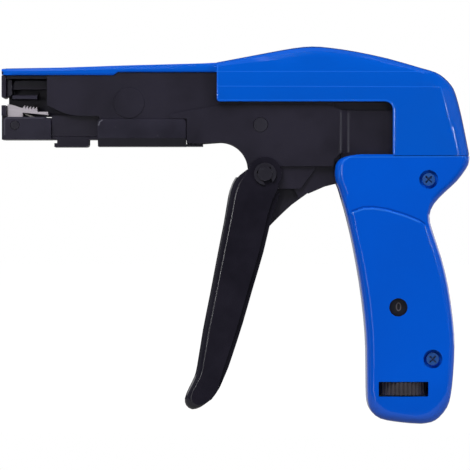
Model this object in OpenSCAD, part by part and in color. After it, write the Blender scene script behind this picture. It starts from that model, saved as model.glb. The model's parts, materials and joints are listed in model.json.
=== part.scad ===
// Cable tie tensioning tool: a steel barrel and frame, a squeezed trigger, a gripper
// pawl that pulls the tie back, a blade that cuts its tail, and a tension setting in
// a two-piece moulded grip. X runs from the nose to the heel, Z is up and Y is across.
// The origin is on the nose's front face, at the middle of the tie slot.

/* [Steel plates] */
// Thickness of the stamped steel plates
plate_t = 1.2; // [0.9:0.05:1.3]
// Width between the two barrel plates
barrel_gap = 9.2; // [9:0.1:10]
// Height of the barrel's top edge over the tie slot
barrel_top = 9.2; // [9:0.1:9.6]
// How far that edge rises behind the skirt of the cover's strip
top_step = 1; // [0.6:0.1:1.2]
// Depth of the barrel's bottom edge under the tie slot
barrel_drop = 13.4; // [13:0.1:14]

/* [Nose] */
// Height of the slot that takes the tie
slot_h = 2.6; // [2.2:0.1:2.8]
// Length of the open throat in the near plate
throat_l = 16.2; // [15:0.1:17]
// Length of the gripper carriage
carriage_l = 16.8; // [16:0.1:17.5]
// Width of the gripper pawl across the tie
pawl_w = 6; // [5:0.1:6.6]
// Number of teeth on the pawl
pawl_teeth = 5; // [3:1:7]
// Thickness of the cutter blade
blade_t = 1.6; // [1.2:0.1:1.8]

/* [Trigger] */
// Length of the trigger under its pivot
trigger_l = 83; // [76:0.5:88]
// How far the trigger turns when it is squeezed
trigger_swing = 26; // [20:1:28]
// Radius of the trigger's pivot pin
trigger_pin_r = 2.6; // [2.2:0.1:2.8]
// Radius of the trigger's ears
ear_r = 5.9; // [5.4:0.1:6.4]

/* [Linkage] */
// Distance from the trigger's pivot to its drive pin
drive_arm = 17.5; // [17:0.1:18]
// Height of the draw pin over the rocker's pivot
rocker_h = 22.5; // [22:0.1:22.8]
// Half of the angle that the drive rocker turns through
rocker_half_swing = 18; // [15:0.5:18]
// Radius of the pins in the linkage
link_pin_r = 1.5; // [1.3:0.1:1.6]

/* [Grip] */
// Width of the grip from its front edge to the heel
grip_w = 47.5; // [46:0.1:48.5]
// Height of the grip
grip_h = 94.5; // [92:0.5:98]
// Half of the grip's thickness under the hand pad
grip_half = 9.2; // [9:0.1:9.8]
// How far the hand pad stands proud of the grip
pad_rise = 0.8; // [0.5:0.1:1.2]
// Wall of the moulded shells
shell_wall = 1.9; // [1.6:0.1:2]
// Radius of the grip's rounded edges
grip_round = 3; // [2:0.1:3.6]

/* [Top cover] */
// Half of the cover's width over the frame
cover_half = 9.2; // [9:0.1:9.8]
// Height of the cover's highest point over the tie slot
cover_peak = 19.5; // [19:0.1:20.5]
// Half of the width of the strip that covers the barrel
strip_half = 6.2; // [6:0.1:6.6]

/* [Tension setting] */
// Radius of the thumbwheel
wheel_r = 9.9; // [9.6:0.1:9.9]
// Height of the thumbwheel
wheel_h = 4.6; // [4:0.1:4.8]
// Travel of the tension nut from its lowest to its highest setting
nut_travel = 12; // [10:0.5:13]
// Radius of the adjusting screw
screw_r = 2.5; // [2.2:0.1:2.8]
// Wire of the tension spring
tension_wire = 1.3; // [1:0.1:1.5]
// Turns of the tension spring
tension_turns = 10; // [8:1:12]

/* [Hidden] */

$fn = 48;
over = 0.5;
side_gap = 0.3;
fit_gap = 0.05;
seat_gap = 0.15;

// Half widths of the layers, from the middle plane outwards
barrel_in = barrel_gap / 2;
barrel_out = barrel_in + plate_t;
frame_out = barrel_out + plate_t;
ear_in = frame_out + side_gap;
trigger_out = ear_in + plate_t;
link_in = barrel_in - plate_t;
rocker_out = link_in - side_gap;
rocker_t = 1.2;
rocker_in = rocker_out - rocker_t;
bar_half = rocker_in - side_gap;
lever_half = 1.2;

// Nose
flange_x = 0.2;
flange_t = 1.6;
flange_back = flange_x + flange_t;
blade_x = flange_back + side_gap;
blade_back = blade_x + blade_t;
throat_floor = 5.1;
throat_lip = 1.2;
recess_end = 34.6;
far_front = flange_back + side_gap;
ledge_gap = 0.9;
ledge_t = 1.3;
ledge_l = 8.7;

// Pivots on the frame
pivot_x = 93;
pivot_z = -25.5;
rivet_x = 91.4;
rivet_z = -8.2;
rivet_r = 2.6;
drive_rest = 5.9 - trigger_swing / 2;
rocker_x = 122;
rocker_z = -22.5;
rocker_pin_r = 2;
stroke = 2 * rocker_h * tan(rocker_half_swing);
draw_z = rocker_z + rocker_h;
draw_x = rocker_x - stroke / 2;
drive_x = pivot_x + drive_arm * cos(drive_rest);
drive_z = pivot_z + drive_arm * sin(drive_rest);
fork_rest = atan2(drive_z - rocker_z, drive_x - rocker_x);
cutter_x = 35.1;
cutter_z = 5.9;
cutter_pin_r = 1.3;

// Grip
grip_x = 117.4;
grip_top = -18.7;
grip_foot = grip_top - grip_h;
axis_share = 0.5074;
axis_x = grip_x + axis_share * grip_w;
trip_step = 10;
trip_x = axis_x - trip_step;
trip_z = 7;
wheel_rise = 9.9;
wheel_z = grip_foot + wheel_rise;
slot_w = 17.4;
slot_margin = 0.4;
slot_z = wheel_z - slot_margin;
slot_tall = 5.2;
nut_rise = 15.3;
nut_z = wheel_z + nut_rise;
nut_h = 6;
nut_w = 12;
nut_half = 6;
nut_top = nut_z + nut_h;
screw_top_share = 0.6947;
screw_top_x = grip_x + screw_top_share * grip_w;
screw_top_z = -27.5;
screw_low_step = 10.3;
screw_low_x = axis_x + screw_low_step;
screw_low_rise = 22.7;
screw_low_z = grip_foot + screw_low_rise;
window_step = 1.8;
window_margin = 0.4;
window_r = 3.2;
window_x = axis_x - window_step;
window_z = nut_z + nut_travel + window_r + window_margin;

// Inner faces, seats and small sizes of the pieces that carry them
grip_inside = grip_half - shell_wall;
pad_step = 0.02;
boss_r = 3.2;
boss_bore = 1.6;
head_r = 2.2;
head_seat_r = 3.3;
head_seat_depth = 1.5;
rib_t = 1.5;
screw_depth = 6;
head_t = 1.3;
seam_z = -19.3;
cover_x = 76;
cover_l = 88.9;
cover_low = -19.1;
cover_side_z = -0.1;
cover_step_x = 137.8;
cover_wall_t = 2;
window_round = 2.8;
cover_round = 1;
strip_x = 0.3;
strip_wall = 3;
strip_room = 1.1;
skirt_x = 39.8;
skirt_slope = 1.4;
link_front_x = 98;
link_w = 41;
link_top = 10;
link_low = -34;
link_heel_x = 126.6;
plate_end_x = 117.1;
frame_top = -1.3;
relief_l = 2.4;
relief_w = 0.6;
frame_low = -22.8;
frame_front_x = 65.4;
frame_tongue = 5;
frame_tongue_z = -14.8;
frame_heel_x = 119.6;
frame_end_x = 155;
frame_foot = -32;
frame_heel_h = 5.4;
frame_heel_l = 2.6;
frame_corner = 4;
toe_x = 59.5;
toe_z = -4.4;
toe_drop = 1.4;
joggle_x = 119.5;
joggle_end_x = 122.5;
joggle_top = -3.2;
joggle_low = -18.1;
notch_x = 77.2;
notch_z = -24;
notch_r = 9.7;
lobe_x = 111.2;
lobe_step = 6.5;
lobe_round = 1.5;
lobe_margin = 0.5;
saddle_x = 34.1;
saddle_l = 31;
saddle_top = -6.2;
saddle_bend = -12.9;
saddle_low = -15.8;
saddle_round = 1.2;
saddle_tongue_l = 6;
saddle_tongue_t = 0.8;
pin_seat = 0.8;
boss_x = 45.1;
boss_z = -0.5;
emboss_r = 5.4;
emboss_t = 0.25;
rail_l = 28;
rail_half = 4.3;
flange_round = 0.6;
tab_x = 19.7;
tab_l = 11.3;
tab_drop = 2.6;
tab_lip = 1;
tab_lip_t = 1.4;
tab_round = 1;
spacer_wall = 0.8;
rivet_proud = 0.15;
clip_y = 8.6;
clip_t = 0.7;
clip_r = 3.9;
clip_bore = 2.1;
clip_gap_r = 0.45;
clip_mouth = 2.8;
clip_turn = 20;
pin_end = 0.5;
trigger_round = 3;
fork_half = 3.5;
liner_step = 1.6;
liner_fade = 8;
forks = [[fork_rest, 10, 16.5], [90 + rocker_half_swing, 20.6, 26.4]];
carriage_x = 0.85;
carriage_round = 1.4;
carriage_big_round = 2.6;
carriage_floor_t = 1;
block_x = 12;
bar_front_x = 13;
bar_h = 4.4;
bar_rise_x = 38;
bar_rise_l = 24;
bar_rear_top = 1.7;
bar_rear_h = 4.2;
pull_z = -9;
channel_rear_x = 60;
channel_top = -4.9;
eye_proud = 0.1;
draw_rivet_inset = 2.45;
draw_rivet_x = carriage_x + carriage_l - draw_rivet_inset;
pawl_x = 4.9;
pawl_z = -8.4;
pawl_pin_r = 1.6;
pawl_lug_r = 2.6;
pawl_front_x = 2.1;
pawl_tip_z = -0.95;
pawl_bar_t = 2.85;
pawl_dip_x = 6.3;
pawl_dip_z = -1.9;
pawl_tail_x = 16.4;
pawl_tail_z = -3.5;
pawl_tail_t = 1.2;
teeth_x = 7.4;
teeth_l = 5.3;
teeth_z = -1.2;
tooth_h = 1;
teeth_slope = 8;
leaf_x = 8.2;
leaf_t = 0.4;
leaf_hold = 2.4;
blade_half = 3.6;
lever_tip_z = 5.2;
lever_tip_h = 1.8;
lever_h = 3;
tail_x = 101;
tail_top = 6;
tail_low = 3.3;
tongue_t = 1.3;
tongue_l = 5;
tip_x = 98;
return_wire = 0.8;
return_turns = 1.25;
return_leg = 5;
guide_z = -27;
guide_w = 9;
guide_h = 5;
plunger_r = 2;
plunger_z = -37;
spring_r = 4;
strip_w = 7;
strip_t = 1;
screw_foot = 2.4;
screw_l = 36;
wheel_ribs = 40;
rib_depth = 0.45;
rib_shares = [[0, 1], [0.25, 0.1], [0.5, 0], [0.75, 0.1]];

// Smooth open curve through a list of points, with the given steps between them
function blend(a, b, c, d, t) = 0.5 * (2 * b + (c - a) * t
    + (2 * a - 5 * b + 4 * c - d) * t * t + (3 * b - a - 3 * c + d) * t * t * t);
function curve(p, steps) = let (n = len(p) - 1) concat(
    [for (i = [0 : n - 1]) for (k = [0 : steps - 1])
        blend(p[max(i - 1, 0)], p[i], p[i + 1], p[min(i + 2, n)], k / steps)], [p[n]]);
function arc(x, z, r, a, b, steps) =
    [for (k = [0 : steps]) [x + r * cos(a + (b - a) * k / steps),
        z + r * sin(a + (b - a) * k / steps)]];
function reversed(p) = [for (i = [len(p) - 1 : -1 : 0]) p[i]];
function place(shares, x, z, w, h) = [for (s = shares) [x + s[0] * w, z + s[1] * h]];
function mix(p, q, share) = [for (i = [0 : len(p) - 1]) p[i] + share * (q[i] - p[i])];
function unit(v) = v / norm(v);
// A list of points moved to its left by d, seen along its direction
function beside(p, d) = let (n = len(p) - 1) [for (i = [0 : n])
    let (t = unit(p[min(i + 1, n)] - p[max(i - 1, 0)])) p[i] + d * [-t[1], t[0]]];

// A flat plate in the XZ plane, from y to y + t
module slab(y, t) {
    translate([0, y + t, 0]) rotate([90, 0, 0]) linear_extrude(t) children();
}
// The same plate on both sides of the middle plane
module pair(y, t) {
    slab(y, t) children();
    slab(-y - t, t) children();
}
// A round pin or hole along Y
module across(x, z, r, y, t) {
    translate([x, y + t, z]) rotate([90, 0, 0]) cylinder(r = r, h = t);
}
module through(x, z, r, half) {
    across(x, z, r, -half, 2 * half);
}
// Solid lofted across Y. Each layer is [y, one edge, other edge]: its ring runs along the
// first edge and back along the second, against the clock as seen from -Y. Both edges have
// the same number of points, and point i of one is joined to point i of the other. y is one
// number, or a list with one for each point of an edge.
function depth(l, i) = is_list(l[0]) ? l[0][i] : l[0];
module loft(layers) {
    m = len(layers[0][1]);
    n = len(layers);
    points = [for (l = layers) each concat(
        [for (i = [0 : m - 1]) [l[1][i][0], depth(l, i), l[1][i][1]]],
        [for (i = [m - 1 : -1 : 0]) [l[2][i][0], depth(l, i), l[2][i][1]]])];
    ring = 2 * m;
    sides = [for (k = [0 : n - 2]) for (i = [0 : ring - 1])
        let (j = (i + 1) % ring, a = k * ring + i, b = k * ring + j)
        each [[a, b, b + ring], [a, b + ring, a + ring]]];
    last = (n - 1) * ring;
    caps = [for (i = [0 : m - 2]) let (a = i, b = i + 1, c = ring - 2 - i, d = ring - 1 - i)
        each [[a, d, c], [a, c, b], [last + a, last + b, last + c],
            [last + a, last + c, last + d]]];
    polyhedron(points, concat(sides, caps));
}
// Tube of the given wire round a path of points, closed at both ends
module wire(path, r, sides) {
    n = len(path);
    points = [for (i = [0 : n - 1])
        let (t = unit(path[min(i + 1, n - 1)] - path[max(i - 1, 0)]),
            u = unit(cross(t, abs(t[1]) > 0.9 ? [1, 0, 0] : [0, 1, 0])), v = cross(t, u))
        for (k = [0 : sides - 1]) path[i] + r * (cos(360 * k / sides) * u
            + sin(360 * k / sides) * v)];
    tube = [for (i = [0 : n - 2]) for (k = [0 : sides - 1])
        let (a = i * sides + k, b = i * sides + (k + 1) % sides)
        each [[a, b + sides, b], [a, a + sides, b + sides]]];
    end = (n - 1) * sides;
    caps = [for (k = [1 : sides - 2]) each [[0, k, k + 1], [end, end + k + 1, end + k]]];
    polyhedron(points, concat(tube, caps));
}

// Outline of the moulded grip, as shares of its width and height from the front foot
front_edge_shares = [[0.15, 1], [0.069, 0.991], [0.019, 0.972], [0.002, 0.94],
    [0.006, 0.906], [0.03, 0.875], [0.055, 0.833], [0.078, 0.794], [0.11, 0.73],
    [0.141, 0.659], [0.189, 0.526], [0.223, 0.392], [0.238, 0.277], [0.241, 0.13],
    [0.248, 0.075], [0.275, 0.042], [0.34, 0.017], [0.45, 0.006], [0.56, 0]];
rear_edge_shares = [[0.985, 1], [1, 0.995], [0.996, 0.972], [0.975, 0.947],
    [0.905, 0.9], [0.819, 0.86], [0.737, 0.816], [0.702, 0.771], [0.725, 0.715],
    [0.79, 0.615], [0.84, 0.51], [0.877, 0.38], [0.888, 0.284], [0.878, 0.179],
    [0.861, 0.105], [0.834, 0.06], [0.775, 0.022], [0.716, 0.004], [0.64, -0.002]];
// Upper edge of the hand pad in the same shares, from in front of the grip to behind it
pad_arc_shares = [[-0.1, 0.66], [0.04, 0.74], [0.1, 0.772], [0.15, 0.792], [0.21, 0.801],
    [0.285, 0.802], [0.36, 0.798], [0.43, 0.788], [0.5, 0.778], [0.565, 0.766],
    [0.626, 0.753], [0.68, 0.732], [0.76, 0.69], [0.9, 0.6]];
pad_clear_share = 0.9;
edge_steps = 2;
inset_limit = 0.4;
function grip_edge(shares) = curve(place(shares, grip_x, grip_foot, grip_w, grip_h), edge_steps);
front_edge = grip_edge(front_edge_shares);
rear_edge = grip_edge(rear_edge_shares);
pad_arc = grip_edge(pad_arc_shares);
// The sides rise from the grip's to the pad's over these rows of the edges
pad_first = 5.5 * edge_steps;
pad_last = 6.5 * edge_steps;

// Edge p moved by d towards edge q, and drawn up towards the height fixed_z
function inset(p, q, d, fixed_z, h) = [for (i = [0 : len(p) - 1])
    let (w = norm(q[i] - p[i]), s = p[i] + min(d / w, inset_limit) * (q[i] - p[i]))
    [s[0], fixed_z + (s[1] - fixed_z) * (1 - d / h)]];
function grip_front(d) = inset(front_edge, rear_edge, d, grip_top, grip_h);
function grip_rear(d) = inset(rear_edge, front_edge, d, grip_top, grip_h);

// Layers of a quarter round, as [way out, way in]
round_steps = 4;
function quarter(r) = [for (k = [0 : round_steps]) let (a = 90 * k / round_steps)
    [r * sin(a) - r, r - r * cos(a)]];
// How far out the flat of the grip lies at each row, with its layers' way out added
function grip_out(y) = [for (i = [0 : len(front_edge) - 1])
    grip_half + y + pad_rise * max(0, min(1, (i - pad_first) / (pad_last - pad_first)))];
module grip_solid() {
    difference() {
        loft(concat([[0, grip_front(0), grip_rear(0)]], [for (q = quarter(grip_round))
            [grip_out(q[0]), grip_front(q[1]), grip_rear(q[1])]]));
        slab(grip_half + pad_step, pad_rise + over) polygon(concat(pad_arc,
            [[grip_x + 2 * grip_w, grip_foot + pad_clear_share * grip_h],
            [grip_x - grip_w, grip_foot + pad_clear_share * grip_h]]));
    }
}

screw_places = [[screw_top_x, screw_top_z], [screw_low_x, screw_low_z]];
rib_places = [wheel_z - side_gap - rib_t, wheel_z + wheel_h + 2 * side_gap + plate_t];

// One half of the grip, on the far side
module grip_half_shell() {
    difference() {
        grip_solid();
        difference() {
            slab(-over, grip_inside + over) intersection() {
                polygon(concat(grip_front(shell_wall), reversed(grip_rear(shell_wall))));
                translate([grip_x, grip_foot]) square([2 * grip_w, grip_h - shell_wall]);
            }
            across(screw_top_x, screw_top_z, boss_r, barrel_out + seat_gap, grip_half);
            across(screw_low_x, screw_low_z, boss_r, -2 * over, grip_half + 2 * over);
            for (z = rib_places)
                translate([grip_x, -2 * over, z]) cube([grip_w, grip_half + 2 * over, rib_t]);
        }
        for (z = rib_places)
            translate([axis_x, 0, z - over])
                cylinder(r = screw_r + side_gap, h = rib_t + 2 * over);
        // Ways in for the link plates and for the rear of the frame
        slab(-over, barrel_in + seat_gap + over)
            translate([grip_x - over, link_low - side_gap])
                square([link_heel_x - grip_x + 2 * over, grip_top - link_low + 2 * side_gap]);
        slab(-over, barrel_out + seat_gap + over)
            translate([frame_heel_x, grip_top - 2 * shell_wall])
                square([frame_end_x - frame_heel_x + side_gap, 4 * shell_wall]);
        translate([cover_step_x, -over, seam_z]) cube([grip_w, 2 * grip_half, grip_w]);
        translate([axis_x - slot_w / 2, -over, slot_z]) cube([slot_w, 2 * grip_half, slot_tall]);
        translate([axis_x, 0, slot_z]) cylinder(r = wheel_r + side_gap, h = slot_tall);
    }
}
module grip_shell_near() {
    color("#1450c8") difference() {
        mirror([0, 1, 0]) grip_half_shell();
        across(window_x, window_z, window_r, -2 * grip_half, 2 * grip_half);
        for (p = screw_places) {
            across(p[0], p[1], boss_bore, -2 * grip_half, 2 * grip_half);
            across(p[0], p[1], head_seat_r, -2 * grip_half, grip_half + head_seat_depth);
        }
    }
}
module grip_shell_far() {
    color("#1450c8") difference() {
        grip_half_shell();
        for (p = screw_places) across(p[0], p[1], boss_bore, -over, screw_depth + over);
    }
}
// Recessed pan-head screws that clamp the two halves together
module grip_screws() {
    seat_y = -(grip_half - head_seat_depth);
    color("#23232a") for (p = screw_places) {
        difference() {
            across(p[0], p[1], head_r, seat_y - head_t, head_t);
            for (a = [0, 90]) translate([p[0], seat_y - head_t, p[1]]) rotate([0, a + 45, 0])
                cube([head_r * 1.3, head_t, head_r / 3], center = true);
        }
        across(p[0], p[1], boss_bore - fit_gap, seat_y, screw_depth - seat_y);
    }
}

// Roof of the cover, its upper crease and its lower crease, as shares of the cover's
// length from its front wall and of its height over the tie slot
roof_shares = [[0, 0.713], [0.079, 0.78], [0.202, 0.887], [0.304, 0.969], [0.377, 1],
    [0.45, 0.977], [0.551, 0.908], [0.677, 0.785], [0.804, 0.62], [0.867, 0.533],
    [0.9, 0.441], [0.929, 0.303], [0.947, 0.144], [0.971, -0.272], [1, -0.93]];
upper_crease_shares = [[0, 0.544], [0.079, 0.538], [0.202, 0.536], [0.304, 0.533],
    [0.377, 0.533], [0.444, 0.533], [0.54, 0.533], [0.652, 0.533], [0.776, 0.528],
    [0.835, 0.472], [0.864, 0.38], [0.891, 0.267], [0.913, 0.113], [0.937, -0.267],
    [0.968, -0.93]];
lower_crease_shares = [[0, 0.256], [0.079, 0.251], [0.202, 0.246], [0.304, 0.241],
    [0.377, 0.239], [0.439, 0.236], [0.529, 0.236], [0.624, 0.236], [0.742, 0.231],
    [0.804, 0.226], [0.849, 0.221], [0.881, 0.195], [0.895, 0.077], [0.915, -0.256],
    [0.945, -0.93]];
// How far each layer of the crown is set in, as a share of the cover's half width, and
// how far its edge has dropped from the roof to the upper crease
crown_shares = [[0.38, 0], [0.61, 0.06], [0.76, 0.2], [0.86, 0.45], [0.925, 1]];
function cover_edge(shares) =
    curve(place(shares, cover_x, 0, cover_l, cover_peak), edge_steps);
function lower_edge(top) = let (n = len(top) - 1)
    [for (i = [0 : n]) [cover_x + (top[n][0] - cover_x) * i / n, cover_low]];
roof = cover_edge(roof_shares);
upper_crease = cover_edge(upper_crease_shares);
lower_crease = cover_edge(lower_crease_shares);
function both_ways(layers) = concat(
    [for (i = [len(layers) - 1 : -1 : 0]) [-layers[i][0], layers[i][1], layers[i][2]]], layers);

module cover_crown() {
    crown = [for (s = crown_shares) let (top = mix(roof, upper_crease, s[1]))
        [s[0] * cover_half, lower_edge(top), top]];
    side = [cover_half, lower_edge(lower_crease), lower_crease];
    loft(both_ways(concat(crown, [side])));
}
// Strip over the barrel: its upper and lower edges, as shares of its length and of the
// cover's height over the barrel's top edge
strip_top_shares = [[0, 0.14], [0.006, 0.2], [0.022, 0.24], [0.27, 0.27], [0.56, 0.345],
    [0.91, 0.415], [1, 0.46]];
strip_low_shares = [[0, 0.1], [0.008, 0.04], [0.022, 0.01], [0.27, 0.01], [0.56, 0.01],
    [0.91, 0.01], [1, 0.01]];
strip_round_shares = [[0.8, 0], [0.93, 0.12], [1, 0.42]];
module cover_strip() {
    top = curve(place(strip_top_shares, strip_x, barrel_top, cover_x + shell_wall - strip_x,
        cover_peak - barrel_top), edge_steps);
    low = curve(place(strip_low_shares, strip_x, barrel_top, cover_x + shell_wall - strip_x,
        cover_peak - barrel_top), edge_steps);
    loft(both_ways([for (s = strip_round_shares)
        [s[0] * strip_half, low, mix(top, low, s[1])]]));
}
module top_cover() {
    color("#1450c8") difference() {
        union() {
            cover_crown();
            cover_strip();
        }
        // Window for the frame, with a rounded corner at the top of its rear edge
        slab(-2 * cover_half, 4 * cover_half) polygon(concat(
            [[cover_x - over, 2 * cover_low], [cover_x - over, cover_side_z + cover_round],
                [cover_x, cover_side_z + cover_round]],
            arc(cover_x + cover_round, cover_side_z + cover_round, cover_round, 190, 270, 4),
            arc(cover_step_x - window_round, cover_side_z - window_round, window_round,
                90, 0, 6), [[cover_step_x, 2 * cover_low]]));
        // The strip's skirt is shorter where the barrel plates' top edge is higher
        slab(-cover_half, 2 * cover_half) polygon([[skirt_x - fit_gap, barrel_top - over],
            [skirt_x - fit_gap, barrel_top + seat_gap],
            [skirt_x + skirt_slope - fit_gap, barrel_top + top_step + seat_gap],
            [cover_x, barrel_top + top_step + seat_gap], [cover_x, barrel_top - over]]);
        // Room for the frame between the side walls, and for the levers under the crown
        slab(-cover_half + shell_wall, 2 * (cover_half - shell_wall)) {
            polygon(concat(lower_crease, [[lower_crease[len(lower_crease) - 1][0],
                2 * cover_low], [cover_x - over, 2 * cover_low],
                [cover_x - over, lower_crease[0][1]]]));
            translate([cover_x - over, cover_low])
                square([plate_end_x + cover_wall_t - cover_x,
                    barrel_top + top_step - cover_low + seat_gap]);
        }
        slab(-barrel_in - seat_gap, 2 * (barrel_in + seat_gap)) {
            polygon(concat([[cover_x + cover_wall_t, cover_low]],
                [for (p = beside(roof, -shell_wall)) if (p[0] > cover_x + cover_wall_t) p]));
            polygon([[strip_wall, barrel_top - over], [strip_wall, barrel_top + strip_room],
                [cover_x + 2 * cover_wall_t, barrel_top + 2 * strip_room],
                [cover_x + 2 * cover_wall_t, barrel_top - over]]);
        }
    }
}

// Near barrel plate: the throat is open above a lip that curves down to the recess
recess_lip_shares = [[0.675, 0], [0.46, 0.08], [0.21, 0.5], [0, 1]];
module barrel_outline(nose) {
    polygon(concat([[plate_end_x, barrel_top + top_step], [plate_end_x, frame_low],
        [lobe_x, frame_low]],
        arc(lobe_x - lobe_step, frame_low - lobe_step, lobe_round, -20, -70, 4),
        arc(pivot_x, pivot_z, ear_r - lobe_margin, -75, -180, 8),
        arc(notch_x, notch_z, notch_r + over, 5, 90, 10),
        [[frame_front_x, -barrel_drop], [recess_end, -barrel_drop],
            [recess_end, -throat_floor]], nose, [[skirt_x, barrel_top],
            [skirt_x + skirt_slope, barrel_top + top_step]]));
}
module barrel_holes() {
    circle_at(pivot_x, pivot_z, trigger_pin_r + fit_gap);
    circle_at(rivet_x, rivet_z, rivet_r + fit_gap);
}
module circle_at(x, z, r) {
    translate([x, z]) circle(r);
}
module barrel_plate_near() {
    color("#26242e") {
        difference() {
            slab(-barrel_out, plate_t) difference() {
                barrel_outline(concat(curve(place(recess_lip_shares, throat_l, -throat_floor,
                    recess_end - throat_l, throat_floor - throat_lip), edge_steps),
                    [[throat_l, barrel_top]]));
                barrel_holes();
            }
            across(cutter_x, cutter_z, cutter_pin_r + fit_gap, -barrel_in - pin_seat,
                pin_seat + over);
        }
        across(boss_x, boss_z, emboss_r, -barrel_out - emboss_t, emboss_t + over);
    }
}
module barrel_plate_far() {
    color("#26242e") difference() {
        slab(barrel_in, plate_t) difference() {
            barrel_outline([[far_front, -throat_floor], [far_front, barrel_top]]);
            barrel_holes();
        }
        across(cutter_x, cutter_z, cutter_pin_r + fit_gap, barrel_in - over, pin_seat + over);
    }
}

// Frame plate on the far side: a wide front plate, a joggled strip between two relief
// notches, and a rear plate that lies one plate thickness further in
module frame_front_outline() {
    polygon(concat([[toe_x, toe_z], [cover_x, cover_side_z - toe_drop],
        [cover_x + 2 * toe_drop, frame_top], [plate_end_x - relief_l, frame_top],
        [joggle_x - relief_w, joggle_top + relief_w], [joggle_x, joggle_top],
        [joggle_x, joggle_low], [joggle_x - relief_w, joggle_low - relief_w],
        [plate_end_x, joggle_low - relief_l], [plate_end_x, frame_low]],
        arc(pivot_x, pivot_z, ear_r - lobe_margin, 30, -180, 16),
        arc(notch_x, notch_z, notch_r, 5, 90, 12),
        [[frame_front_x + frame_tongue, frame_tongue_z], [frame_front_x, frame_tongue_z],
            [frame_front_x, saddle_top + seat_gap], [toe_x, saddle_top + seat_gap]]));
}
module frame_rear_outline() {
    polygon([[joggle_end_x, joggle_top], [frame_end_x - frame_corner, joggle_top],
        [frame_end_x, joggle_top - frame_corner], [frame_end_x, screw_top_z + boss_r],
        [screw_top_x + boss_r, frame_foot], [frame_heel_x + frame_heel_l, frame_foot],
        [frame_heel_x + side_gap, frame_foot + frame_heel_h],
        [frame_heel_x + side_gap, joggle_low], [joggle_end_x, joggle_low]]);
}
module frame_plate_far() {
    color("#26242e") {
        slab(barrel_out, plate_t) difference() {
            frame_front_outline();
            barrel_holes();
        }
        translate([0, 0, joggle_low]) linear_extrude(joggle_top - joggle_low)
            polygon([[joggle_x - fit_gap, barrel_out], [joggle_x - fit_gap, frame_out],
                [joggle_x, frame_out], [joggle_end_x, barrel_out],
                [joggle_end_x + fit_gap, barrel_out], [joggle_end_x + fit_gap, barrel_in],
                [joggle_end_x, barrel_in], [joggle_x, barrel_out]]);
        slab(barrel_in, plate_t) difference() {
            frame_rear_outline();
            circle_at(rocker_x, rocker_z, rocker_pin_r + fit_gap);
            circle_at(screw_top_x, screw_top_z, boss_bore);
        }
    }
}
module frame_plate_near() {
    mirror([0, 1, 0]) frame_plate_far();
}

// Plates inside the frame that carry the drive rocker and the trip rocker
link_shares = [[0, 1], [1, 1], [1, 0.34], [0.69, 0.3], [0.69, 0.115], [0.48, 0.115],
    [0.375, 0.09], [0.31, 0.065], [0.24, 0.04], [0.17, 0], [0.12, 0.09], [0, 0.09]];
module link_plate_far() {
    color("#1f1e26") slab(link_in, plate_t) difference() {
        polygon(place(link_shares, link_front_x, link_low, link_w, link_top - link_low));
        circle_at(rocker_x, rocker_z, rocker_pin_r + fit_gap);
        circle_at(trip_x, trip_z, link_pin_r + fit_gap);
    }
}
module link_plate_near() {
    mirror([0, 1, 0]) link_plate_far();
}

// Rail inside the top of the nose: its front flange stands over the tie slot
module top_rail() {
    color("#26242e") {
        slab(-barrel_in, barrel_gap)
            translate([flange_x, barrel_top - plate_t]) square([rail_l, plate_t]);
        slab(-barrel_out, 2 * barrel_out) polygon(concat(
            arc(flange_x + flange_round, slot_h / 2 + flange_round, flange_round, 180, 270, 4),
            arc(flange_back - flange_round, slot_h / 2 + flange_round, flange_round,
                270, 360, 4), [[flange_back, barrel_top], [flange_x, barrel_top]]));
    }
}
// Rail along the bottom: its front flange stands under the tie slot, and its tab hangs
module guide_rail() {
    color("#26242e") {
        slab(-rail_half, 2 * rail_half) {
            translate([flange_x, -barrel_drop])
                square([frame_front_x - flange_x, plate_t - 2 * fit_gap]);
            translate([flange_x, -barrel_drop])
                square([flange_t, barrel_drop - slot_h / 2]);
            polygon(concat([[tab_x, over - barrel_drop],
                [tab_x, tab_lip_t - barrel_drop - tab_drop],
                [tab_x - tab_lip, tab_lip_t - barrel_drop - tab_drop],
                [tab_x - tab_lip, -barrel_drop - tab_drop]],
                arc(tab_x + tab_l - tab_round, tab_round - barrel_drop - tab_drop,
                    tab_round, 270, 360, 4), [[tab_x + tab_l, over - barrel_drop]]));
        }
        slab(-barrel_in, barrel_gap) translate([recess_end, -barrel_drop])
            square([frame_front_x - recess_end, plate_t - 2 * fit_gap]);
        slab(-barrel_out, 2 * barrel_out) translate([flange_x, -throat_floor + fit_gap])
            square([flange_t, throat_floor - fit_gap - slot_h / 2]);
    }
}
// Folded saddle round the bottom of the barrel
module barrel_saddle() {
    color("#2b2933") {
        intersection() {
            translate([saddle_x, 0, 0]) rotate([90, 0, 90]) linear_extrude(saddle_l)
                polygon([[frame_out, saddle_top], [frame_out, saddle_bend],
                    [barrel_in + fit_gap, saddle_low], [-barrel_in - fit_gap, saddle_low],
                    [-frame_out, saddle_bend], [-frame_out, saddle_top],
                    [-barrel_out, saddle_top], [-barrel_out, -barrel_drop - seat_gap],
                    [-barrel_in + plate_t / 2, saddle_low + plate_t],
                    [barrel_in - plate_t / 2, saddle_low + plate_t],
                    [barrel_out, -barrel_drop - seat_gap], [barrel_out, saddle_top]]);
            slab(-frame_out, 2 * frame_out) polygon(concat(
                arc(saddle_x + saddle_round, saddle_top - saddle_round, saddle_round,
                    180, 90, 4),
                arc(saddle_x + saddle_l - saddle_round, saddle_top - saddle_round,
                    saddle_round, 90, 0, 4),
                [[saddle_x + saddle_l, saddle_low], [saddle_x, saddle_low]]));
        }
        slab(-barrel_in, barrel_gap)
            translate([saddle_x + saddle_l - over, saddle_low + fit_gap])
            square([saddle_tongue_l + over, saddle_tongue_t]);
    }
}
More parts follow.
